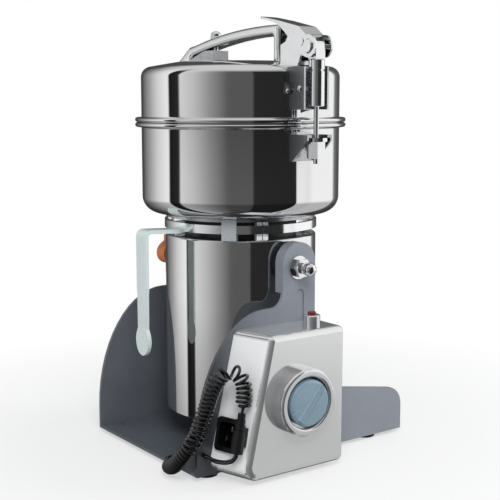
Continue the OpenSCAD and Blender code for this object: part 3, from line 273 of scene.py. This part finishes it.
polished_steel = finish("polished steel", "EDEDEE", 0.03, 0.07, 1.0, tone=0.03, scale=9,
                        bump=0.0, grains=400)
bright_steel = finish("bright steel", "F6F7F8", 0.08, 0.18, 1.0, tone=0.04, scale=60, bump=0.04)
sheet_steel = finish("brushed sheet", "C4C6C9", 0.24, 0.38, 1.0, tone=0.10, scale=50,
                     stretch=(1, 1, 30), grains=160, bump=0.12)
zinc = finish("zinc plate", "BFC2C6", 0.22, 0.36, 1.0, tone=0.12, scale=120, bump=0.06)
# The latch guide and catch are darker on faces that look towards -X: painted shade.
guide_steel = finish("brushed guide with painted shade", "D2D5D8", 0.22, 0.36, 1.0, tone=0.14, scale=60,
                     stretch=(1, 1, 30), grains=160, bump=0.14, painted_side_shade=0.40)
satin_steel = finish("satin fitting", "BDC1C5", 0.26, 0.38, 0.4, tone=0.06, scale=60, bump=0.05)
# The band clamps are near white and nearly matt: a painted highlight.
clamp_painted_highlight = finish("clamp with painted highlight", "F2F4F6", 0.22, 0.34, 0.15, tone=0.06, scale=60, bump=0.05)
dark_pin = finish("dark steel pin", "34373B", 0.28, 0.42, 0.9, tone=0.12, scale=90, bump=0.06)
# The cradle's floor and two side plates are one grey paint in three tones of painted light and
# shade: floor and far plate darker as painted shade, the near plate lighter as painted light and
# darker towards its curved end at -X as painted shade.
cradle_floor_painted_shade = finish("cradle paint with painted shade", "51565F", 0.30, 0.44, tone=0.10, scale=22, grains=1500,
                     bump=0.10, dust=0.04, Coat_Weight=0.25)
near_plate_painted_shading = finish("near plate paint with painted shading", "828790", 0.30, 0.42, tone=0.08, scale=22, grains=1500,
                    bump=0.10, painted_shade_along_x=(-0.130, -0.052, 0.18), Coat_Weight=0.25)
far_plate_painted_shade = finish("far plate paint with painted shade", "5E6269", 0.32, 0.44, tone=0.08, scale=22, grains=1500,
                   bump=0.10, Coat_Weight=0.2)
# The box's faces that look towards -X are nearly matt and a little lighter: painted light.
box_silver = finish("satin steel with painted light", "ECEDED", 0.10, 0.15, 0.84, tone=0.03, scale=16, grains=2500,
                    bump=0.03, matt_side=0.08, painted_side_shade=1.07)
bezel_silver = finish("plated ring", "E6E7E9", 0.10, 0.18, 0.88, tone=0.04, scale=40, bump=0.03)
knob_blue = finish("grey blue moulding", "7D95A4", 0.22, 0.34, tone=0.08, scale=50, bump=0.06,
                   Coat_Weight=0.8, Transmission_Weight=0.15)
black_rubber = finish("black rubber", "111214", 0.48, 0.62, tone=0.2, scale=60, grains=1800,
                      bump=0.2)
black_plastic = finish("black moulding", "0B0B0C", 0.34, 0.46, tone=0.2, scale=70, grains=2600,
                       bump=0.16)
grey_plastic = finish("grey moulding", "43464C", 0.40, 0.52, tone=0.12, scale=50, bump=0.14)
cord_black = finish("cord jacket", "060607", 0.16, 0.26, tone=0.2, scale=160, grains=3000,
                    bump=0.05, Coat_Weight=1.0)
red_plastic = finish("red button", "6E141E", 0.20, 0.30, tone=0.1, scale=80, bump=0.04,
                     Coat_Weight=0.4)
blade_plate = finish("plated blades", "E9E4D3", 0.18, 0.30, 1.0, tone=0.08, scale=140, bump=0.05)
mint_coat = finish("pale mint coat", "D5E1DF", 0.24, 0.34, tone=0.05, scale=30, grains=1800,
                   bump=0.05, Coat_Weight=0.35)
orange_plastic = finish("orange moulding", "E07A3C", 0.26, 0.38, tone=0.08, scale=50, bump=0.06,
                        Coat_Weight=0.3)
dark_casting = finish("dark casting", "3A3D42", 0.36, 0.5, tone=0.14, scale=60, bump=0.2)
core_iron = finish("laminated core", "55585D", 0.40, 0.55, 0.8, tone=0.2, scale=80,
                   stretch=(1, 1, 60), grains=90, bump=0.3)
copper = finish("turned copper", "C48357", 0.22, 0.34, 1.0, tone=0.1, scale=80, bump=0.08)
carbon = finish("brush holder", "4B4036", 0.5, 0.6, tone=0.2, scale=80, bump=0.1)
bronze = finish("bronze bush", "B99663", 0.32, 0.44, 1.0, tone=0.15, scale=120, bump=0.1)
blade_steel = finish("ground steel", "CDD0D3", 0.16, 0.30, 1.0, tone=0.08, scale=60,
                     stretch=(1, 40, 1), grains=120, bump=0.12)
silicone = finish("silicone seal", "E4E2DA", 0.42, 0.52, tone=0.06, scale=60, bump=0.06,
                  Subsurface_Weight=0.1)

NODE_FINISH = {
    cradle_floor_painted_shade: ["cradle_floor"],
    near_plate_painted_shading: ["front_side_plate"],
    far_plate_painted_shade: ["back_side_plate"],
    black_rubber: ["rubber_feet", "cord_boot", "cord_gland"],
    zinc: ["foot_bolts", "box_screws", "hinge_pin", "shaft_bearings", "motor_shaft", "blade_hub",
           "blade_nut", "clamp_nut", "timer_shaft"],
    dark_pin: ["swing_pins"],
    bronze: ["swing_bushes"],
    box_silver: ["control_box"],
    bezel_silver: ["timer_bezel", "reset_collar"],
    grey_plastic: ["timer_mechanism", "bottom_cover", "cooling_fan"],
    black_plastic: ["reset_breaker", "mains_inlet"],
    blade_plate: ["inlet_blades"],
    cord_black: ["link_lead", "curly_cord", "motor_lead"],
    knob_blue: ["timer_knob"],
    red_plastic: ["reset_button"],
    polished_steel: ["motor_housing", "bowl", "lid_shell"],
    dark_casting: ["neck_casting"],
    bright_steel: ["neck_band", "hinge_post", "swing_cap", "swing_nut", "lid_handle",
                   "handle_cap_nut", "latch_bracket", "latch_lever", "latch_barrel", "latch_nut"],
    satin_steel: ["joining_lugs"],
    clamp_painted_highlight: ["band_clamp"],
    guide_steel: ["latch_guide", "latch_catch"],
    sheet_steel: ["bowl_disc", "handle_block"],
    core_iron: ["stator", "rotor_core"],
    carbon: ["brush_holders"],
    copper: ["commutator"],
    mint_coat: ["tilt_handle"],
    blade_steel: ["lower_blade", "upper_blade"],
    silicone: ["lid_gasket"],
    orange_plastic: ["clamp_lever"],
}
for material, nodes in NODE_FINISH.items():
    for name in nodes:
        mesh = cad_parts[name].data
        mesh.materials.clear()
        mesh.materials.append(material)


# Cords

# Radius of the wire, radius of a curl's middle line, and least way from one curl to the next
WIRE = 1.7
CURL = 7.4
PITCH = 4.6
# Least gap from wire to wire on the inside of a bend, where curls close up by their radius
# and a tenth more, but are never taken to close up to less than the last share
CURL_GAP = 0.8
CLOSE_UP = 1.1
LEAST_SHARE = 0.3
# Parts of a turn by which the straight ends are rounded up, and turns over which they open
END_STEPS = 8
OPENING = 1.25
# Points to a turn of the curls, and to each stretch of the three routes
CURL_POINTS = 16
CURL_ROUTE_STEPS = 8
LEAD_STEPS = 5
LINK_STEPS = 8
LINK_WIRE = 2.5
# The curls go from the boot over the top of a hanging loop, and down beside the box
CURL_ROUTE = [
    (-104.6, -148.6, 80.7), (-102, -148, 92.3), (-100.5, -147, 104), (-101.5, -144, 115),
    (-106.5, -139, 122), (-114, -133, 122), (-121, -128, 113), (-127, -125, 100),
    (-133, -123, 82), (-141, -122, 63), (-147, -119, 49), (-150, -111, 37), (-151, -101, 27),
    (-150, -90, 18.5), (-148, -79, 12.5), (-145.5, -69, 10.2), (-143, -61, 10)]
# The lead lies on the cradle's floor and rises into the motor's gland
LEAD_ROUTE = [
    (-143, -61, 10), (-141, -56, 10.3), (-137.5, -52.5, 12.2), (-131, -51.5, 12.8),
    (-122, -51.5, 11.4), (-108, -50, 11.2), (-94, -46, 11.2), (-80, -42, 11.6),
    (-68, -40.2, 15.5), (-61, -40, 22), (-60, -40, 34)]
# The link lead goes from under the boot into the front side plate
LINK_ROUTE = [
    (-112.66, -150.56, 44.3), (-113.69, -150.81, 39.63), (-114.65, -150.75, 35.6),
    (-117, -147, 31), (-121, -139, 28.2), (-125, -128, 27.6), (-127, -117, 28.8),
    (-127, -109.1, 29.5)]
# The level direction from which the curls' angle is counted
CURL_ACROSS = Vector((0.6, 0.8, 0))


def smooth_route(route, steps):
    """A spline through every point of the route."""
    points = [Vector(p) for p in route]
    ends = [2 * points[0] - points[1]] + points + [2 * points[-1] - points[-2]]
    out = []
    for a, b, c, d in zip(ends, ends[1:], ends[2:], ends[3:]):
        for step in range(steps):
            t = step / steps
            out.append(0.5 * (2 * b + (c - a) * t + (2 * a - 5 * b + 4 * c - d) * t * t
                              + (3 * b - a - 3 * c + d) * t ** 3))
    return out + [points[-1]]


def heading(points, i):
    """The direction of a line of points at its point i."""
    return (points[min(i + 1, len(points) - 1)] - points[max(i - 1, 0)]).normalized()


def curl_pitches(line):
    """The way from curl to curl at each point, longer where the line bends."""
    pitches = []
    for i in range(len(line)):
        bend = 0.0
        if 0 < i < len(line) - 1:
            a, b = line[i] - line[i - 1], line[i + 1] - line[i]
            bend = 2 * a.normalized().cross(b.normalized()).length / (a.length + b.length)
        share = max(LEAST_SHARE, 1 - CLOSE_UP * CURL * bend)
        pitches.append(max(PITCH, (2 * WIRE + CURL_GAP) / share))
    return pitches


def curl_points():
    """The curly cord's own line: curls round the route, straight at both ends."""
    line = smooth_route(CURL_ROUTE, CURL_ROUTE_STEPS)
    last = len(line) - 1
    pitches = curl_pitches(line)
    turns = [0.0]
    for i in range(last):
        way = (line[i + 1] - line[i]).length
        turns.append(turns[-1] + 2 * way / (pitches[i] + pitches[i + 1]))
    count = turns[-1]
    straight = math.ceil(END_STEPS * 2 * WIRE / PITCH + 1) / END_STEPS
    points = [line[0]]
    step = round(CURL_POINTS * straight)
    while step / CURL_POINTS <= count - straight:
        turn = step / CURL_POINTS
        k = max(i for i in range(last) if turns[i] <= turn)
        part = (turn - turns[k]) / (turns[k + 1] - turns[k])
        place = line[k].lerp(line[k + 1], part)
        ahead = heading(line, k).lerp(heading(line, k + 1), part).normalized()
        u = CURL_ACROSS.cross(ahead).normalized()
        v = ahead.cross(u)
        opened = min(max((min(turn, count - turn) - straight) / OPENING, 0), 1)
        out = CURL * (1 - math.cos(math.pi * opened)) / 2
        angle = math.tau * turn
        points.append(place + out * (u * math.cos(angle) + v * math.sin(angle)))
        step += 1
    return points + [line[-1]]


def to_frame(points):
    """The points in the scene's metres."""
    return [at(*p) for p in points]


def tube_along(name, points, radius, material):
    """A round tube with capped ends along the points."""
    curve = bpy.data.curves.new(name, "CURVE")
    curve.dimensions = "3D"
    curve.bevel_depth = radius
    curve.bevel_resolution = 3
    curve.use_fill_caps = True
    spline = curve.splines.new("POLY")
    spline.points.add(len(points) - 1)
    for slot, point in zip(spline.points, points):
        slot.co = (*point, 1)
    drawn = bpy.data.objects.new(name + "_line", curve)
    bpy.context.scene.collection.objects.link(drawn)
    bpy.context.view_layer.update()
    mesh = bpy.data.meshes.new_from_object(drawn.evaluated_get(
        bpy.context.evaluated_depsgraph_get()))
    bpy.data.objects.remove(drawn)
    mesh.name = name
    mesh.materials.clear()
    mesh.materials.append(material)
    mesh.shade_smooth()
    tube = bpy.data.objects.new(name, mesh)
    bpy.context.scene.collection.objects.link(tube)
    return tube


# One cord runs from the boot through its curls and over the cradle floor into the motor.
cord_line = to_frame(curl_points() + smooth_route(LEAD_ROUTE, LEAD_STEPS)[1:])
motor_cord = tube_along("motor_cord", cord_line, WIRE * MM, cord_black)
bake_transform(motor_cord)
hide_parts("curly_cord", "motor_lead")
boot_lead = tube_along("boot_lead", to_frame(smooth_route(LINK_ROUTE, LINK_STEPS)),
                       LINK_WIRE * MM, cord_black)
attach(boot_lead, "base")
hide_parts("link_lead")


# Spun steel

SPIN_STEPS = 192
# A radius in millimetres that counts as none, and metres below which two places are one
ON_AXIS = 1e-6
SAME_PLACE = 1e-6


def arc(cr, cz, radius, start, end, steps):
    """Points of an arc round radius cr and height cz, from start to end in degrees."""
    angles = [math.radians(start + (end - start) * i / steps) for i in range(steps + 1)]
    return [(cr + radius * math.cos(a), cz + radius * math.sin(a)) for a in angles]


def spin_round(name, profile, material, body, replaced):
    """Spins a closed outline of radii and heights round the bowl's axis."""
    bm = bmesh.new()
    verts = [bm.verts.new(at(r, 0, z)) for r, z in profile]
    on_axis = {v for v, (r, z) in zip(verts, profile) if r < ON_AXIS}
    for a, b in zip(verts, verts[1:] + verts[:1]):
        if not (a in on_axis and b in on_axis):
            bm.edges.new((a, b))
    bmesh.ops.spin(bm, geom=bm.verts[:] + bm.edges[:], cent=AXIS, axis=(0, 0, 1),
                   dvec=(0, 0, 0), angle=math.tau, steps=SPIN_STEPS, use_merge=True,
                   use_duplicate=False)
    bmesh.ops.remove_doubles(bm, verts=bm.verts[:], dist=SAME_PLACE)
    bmesh.ops.recalc_face_normals(bm, faces=bm.faces[:])
    place_piece(name, bm, material, body, replaced)


def place_piece(name, bm, material, body, replaced=(), edge=40):
    """Makes the piece, smooth but for turns sharper than edge, and gives it to its body."""
    mesh = bpy.data.meshes.new(name)
    bm.to_mesh(mesh)
    bm.free()
    mesh.materials.append(material)
    mesh.shade_smooth()
    mesh.set_sharp_from_angle(angle=math.radians(edge))
    piece = bpy.data.objects.new(name, mesh)
    bpy.context.scene.collection.objects.link(piece)
    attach(piece, body)
    if replaced:
        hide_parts(*replaced)


# Height of the joint between bowl and lid, and half the gap in it
JOINT = 377
GAP = 0.15
# Thickness of a rolled rim, its outer radius, and the round where it meets the wall
RIM = 5.4
RIM_R = 122.3
RIM_ROUND = 1.2
# Outer radius and thickness of the walls
BOWL_R = 115
WALL = 1.8
# Corner radii, the lid's top and the bowl's floor
CORNER = 19
LID_CORNER = 12
LID_TOP = 445
FLOOR = 273
# The collar in the bowl's floor that lets the shaft through
COLLAR_R = 11
COLLAR_WALL = 2
COLLAR_H = 8
# The groove in the lid's rim: how far it goes out from the wall, and its height
SEAL_OUT = 3.2
SEAL_H = 1.5
# The flat top of the lid: how far it stands above the corners, and where its step lies
CROWN = 5
CROWN_R = 75
# The motor's housing: its outer radius, the height of its foot and top, the round of its
# shoulder, its wall, and the plate at its top with the hole for the neck
HOUSING_R = 88.6
HOUSING_LOW = 40
HOUSING_TOP = 248.5
HOUSING_ROUND = 3
HOUSING_WALL = 2
TOP_PLATE = 4
NECK_HOLE_R = 30


def rolled_rim(low):
    """The outer half round of a rim that starts at height low."""
    return arc(RIM_R - RIM / 2, low + RIM / 2, RIM / 2, 270, 450, 16)


def bowl_profile():
    low, top = JOINT - GAP - RIM, JOINT - GAP
    centre = (BOWL_R - CORNER, FLOOR + CORNER)
    return ([(COLLAR_R, FLOOR), (BOWL_R - CORNER, FLOOR)]
            + arc(*centre, CORNER, 270, 360, 20)[1:]
            + [(BOWL_R, low - RIM_ROUND)]
            + arc(BOWL_R + RIM_ROUND, low - RIM_ROUND, RIM_ROUND, 180, 90, 4)[1:]
            + rolled_rim(low)
            + [(BOWL_R - WALL, top)]
            + arc(*centre, CORNER - WALL, 360, 270, 20)
            + [(COLLAR_R + COLLAR_WALL, FLOOR + WALL),
               (COLLAR_R + COLLAR_WALL, FLOOR + COLLAR_H), (COLLAR_R, FLOOR + COLLAR_H)])


def lid_profile():
    low = JOINT + GAP
    centre = (BOWL_R - LID_CORNER, LID_TOP - CROWN - LID_CORNER)
    return ([(BOWL_R - WALL, low + SEAL_H), (BOWL_R + SEAL_OUT, low + SEAL_H),
             (BOWL_R + SEAL_OUT, low)]
            + rolled_rim(low)
            + arc(BOWL_R + RIM_ROUND, low + RIM + RIM_ROUND, RIM_ROUND, 270, 180, 4)
            + arc(*centre, LID_CORNER, 0, 75, 14)
            + [(CROWN_R + 0.6, LID_TOP - 0.1), (CROWN_R - 1, LID_TOP), (0, LID_TOP),
               (0, LID_TOP - WALL), (CROWN_R, LID_TOP - WALL)]
            + arc(*centre, LID_CORNER - WALL, 75, 0, 14))


def housing_profile():
    low, top, r = HOUSING_LOW, HOUSING_TOP, HOUSING_R
    return ([(r - HOUSING_WALL, low), (r - 1, low), (r, low + 1), (r, top - HOUSING_ROUND)]
            + arc(r - HOUSING_ROUND, top - HOUSING_ROUND, HOUSING_ROUND, 10, 90, 5)
            + [(NECK_HOLE_R, top), (NECK_HOLE_R, top - TOP_PLATE),
               (r - HOUSING_WALL, top - TOP_PLATE)])


spin_round("bowl_body", bowl_profile(), polished_steel, "swing", ["bowl"])
spin_round("lid_body", lid_profile(), polished_steel, "lid", ["lid_shell"])
spin_round("motor_tube", housing_profile(), polished_steel, "swing",
           ["motor_housing"])


# Carrying handle and the guide's screws

HANDLE_ROUND = 0.0042


def round_handle():
    """The carrying handle with its long side edges rounded, as a drawn bar has them."""
    bm = bmesh.new()
    bm.from_mesh(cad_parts["lid_handle"].data)
    bmesh.ops.remove_doubles(bm, verts=bm.verts[:], dist=SAME_PLACE)
    bmesh.ops.dissolve_limit(bm, angle_limit=math.radians(0.5), verts=bm.verts[:],
                             edges=bm.edges[:])
    low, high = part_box("lid_handle")
    half = (high[0] - low[0]) / 2
    long_edges = [e for e in bm.edges
                  if all(abs(abs(v.co.x - AXIS.x) - half) < 1e-5 for v in e.verts)
                  and len(e.link_faces) == 2 and e.calc_face_angle(0) > math.radians(60)]
    bmesh.ops.bevel(bm, geom=long_edges, offset=HANDLE_ROUND, offset_type="OFFSET", segments=5,
                    profile=0.5, affect="EDGES", clamp_overlap=False)
    bmesh.ops.triangulate(bm, faces=bm.faces[:])
    place_piece("carrying_handle", bm, bright_steel, "lid", ["lid_handle"],
                edge=32)


def dome_screw(name, place, out, radius, height):
    """A low domed screw head that stands on the guide and looks along out."""
    bm = bmesh.new()
    bmesh.ops.create_uvsphere(bm, u_segments=24, v_segments=12, radius=radius)
    below = [v for v in bm.verts if v.co.z < -radius / 100]
    bmesh.ops.delete(bm, geom=below, context="VERTS")
    bmesh.ops.holes_fill(bm, edges=[e for e in bm.edges if e.is_boundary])
    bmesh.ops.recalc_face_normals(bm, faces=bm.faces[:])
    bmesh.ops.scale(bm, verts=bm.verts[:], vec=(1, 1, height / radius))
    turn = Vector(out).to_track_quat("Z", "Y").to_matrix().to_4x4()
    bmesh.ops.transform(bm, verts=bm.verts[:], matrix=Matrix.Translation(at(*place)) @ turn)
    place_piece(name, bm, bright_steel, "lid", edge=60)


round_handle()
dome_screw("guide_screw", (-17, -130.9, 413.7), (-1, 0, 0), 0.0036, 0.0026)
dome_screw("tab_screw", (-20.1, -114.9, 411.5), (-0.17, -0.98, 0), 0.0028, 0.0024)


# Floor, light and what the steel reflects

# Tones round the object, by compass angle in degrees from +X towards +Y, as seen colours
STUDIO = [
    (-180, "C8"), (-160, "98"), (-141, "62"), (-136, "5C"), (-112, "5B"), (-110, "2B"),
    (-59, "28"), (-58.2, "F0"), (-56, "F7"), (-50, "F7"), (-41, "F0"), (-33, "FF"),
    (8, "FF"), (14, "80"), (24, "58"), (40, "50"), (80, "48"), (96, "86"), (108, "A9"),
    (125, "DC"), (140, "F4"), (144, "F8"), (146, "1C"), (160, "2C"), (162, "DC"),
    (166, "DA"), (180, "C8")]
# The Z of a reflected ray where the plain ceiling begins and where it is full
CEILING = (0.55, 0.85)
# The Z of a reflected ray where the studio is darkest and where it is at its full tones, with
# the level at each
LOW_WALL = (-0.302, -0.148, 0.515, 1.0)
# Radius of the floor in metres, and the two distances from its middle between which it fades
# into the background, with its share of white at each
FLOOR_R = 0.62
FLOOR_FADE = (0.25, 0.6, 0.55, 1.0)


def make_world():
    """Tones that the steel reflects, plain soft light for the rest, and a white background."""
    world = bpy.data.worlds.new("studio")
    bpy.context.scene.world = world
    world.use_nodes = True
    s = Sheet(world.node_tree)
    ray = s.add("ShaderNodeSeparateXYZ", {0: s.add("ShaderNodeTexCoord").outputs["Generated"]})
    compass = s.math("ARCTAN2", ray.outputs["Y"], ray.outputs["X"])
    turn = s.remap(compass, -math.pi, math.pi, 0.0, 1.0)
    ramp = s.add("ShaderNodeValToRGB", {"Fac": turn})
    stops = ramp.color_ramp.elements
    while len(stops) < len(STUDIO):
        stops.new(0.5)
    for stop, (angle, tone) in zip(stops, STUDIO):
        stop.position = (angle + 180) / 360
        stop.color = srgb(tone * 3)
    high = s.remap(ray.outputs["Z"], *CEILING, 0.0, 1.0)
    low = s.remap(ray.outputs["Z"], *LOW_WALL)
    dim = s.add("ShaderNodeCombineColor", {0: low, 1: low, 2: low})
    level = s.mix_colour(1.0, ramp.outputs["Color"], dim, "MULTIPLY")
    around = s.mix_colour(high.outputs[0], level, srgb("D8D8D8"))
    path = s.add("ShaderNodeLightPath")
    soft = s.mix_colour(path.outputs["Is Glossy Ray"], srgb("C4C6C8"), around)
    seen = s.mix_colour(path.outputs["Is Camera Ray"], soft, (1, 1, 1, 1))
    s.add("ShaderNodeOutputWorld", {"Surface": s.add("ShaderNodeBackground", {"Color": seen})})


def make_floor():
    """A pale floor that keeps the object's shadow and ends in the white background."""
    bm = bmesh.new()
    bmesh.ops.create_circle(bm, cap_ends=True, radius=FLOOR_R, segments=96)
    mesh = bpy.data.meshes.new("pale_floor")
    bm.to_mesh(mesh)
    bm.free()
    floor = bpy.data.objects.new("pale_floor", mesh)
    bpy.context.scene.collection.objects.link(floor)
    floor.location.z = -0.0002
    material = bpy.data.materials.new("pale floor")
    material.use_nodes = True
    s = Sheet(material.node_tree)
    matt = s.add("ShaderNodeBsdfDiffuse", {"Color": (0.8, 0.8, 0.8, 1)})
    glow = s.add("ShaderNodeEmission", {"Color": (1, 1, 1, 1)})
    distance = s.add("ShaderNodeVectorMath",
                     {0: s.add("ShaderNodeTexCoord").outputs["Object"]}, operation="LENGTH")
    edge = s.remap(distance.outputs["Value"], *FLOOR_FADE)
    path = s.add("ShaderNodeLightPath")
    seen = s.math("MAXIMUM", path.outputs["Is Camera Ray"], path.outputs["Is Glossy Ray"])
    s.add("ShaderNodeOutputMaterial", {"Surface": s.add(
        "ShaderNodeMixShader", {0: s.math("MULTIPLY", edge, seen), 1: matt, 2: glow})})
    mesh.materials.append(material)
    floor.visible_glossy = False


def make_lamp(name, place, size, power, target=(0, 0, 250)):
    """A round soft lamp that shines on the bowl and isn't seen in the steel."""
    data = bpy.data.lights.new(name, "AREA")
    data.shape = "DISK"
    data.size = size
    data.energy = power
    lamp = bpy.data.objects.new(name, data)
    bpy.context.scene.collection.objects.link(lamp)
    lamp.location = at(*place)
    aim = at(*target) - lamp.location
    lamp.rotation_euler = aim.to_track_quat("-Z", "Y").to_euler()
    lamp.visible_glossy = False
    lamp.visible_camera = False


make_world()
make_floor()
make_lamp("key_lamp", (-900, -1500, 1700), 1.2, 34)
make_lamp("fill_lamp", (1500, -900, 900), 1.0, 10)

bpy.context.scene.view_settings.view_transform = "Standard"
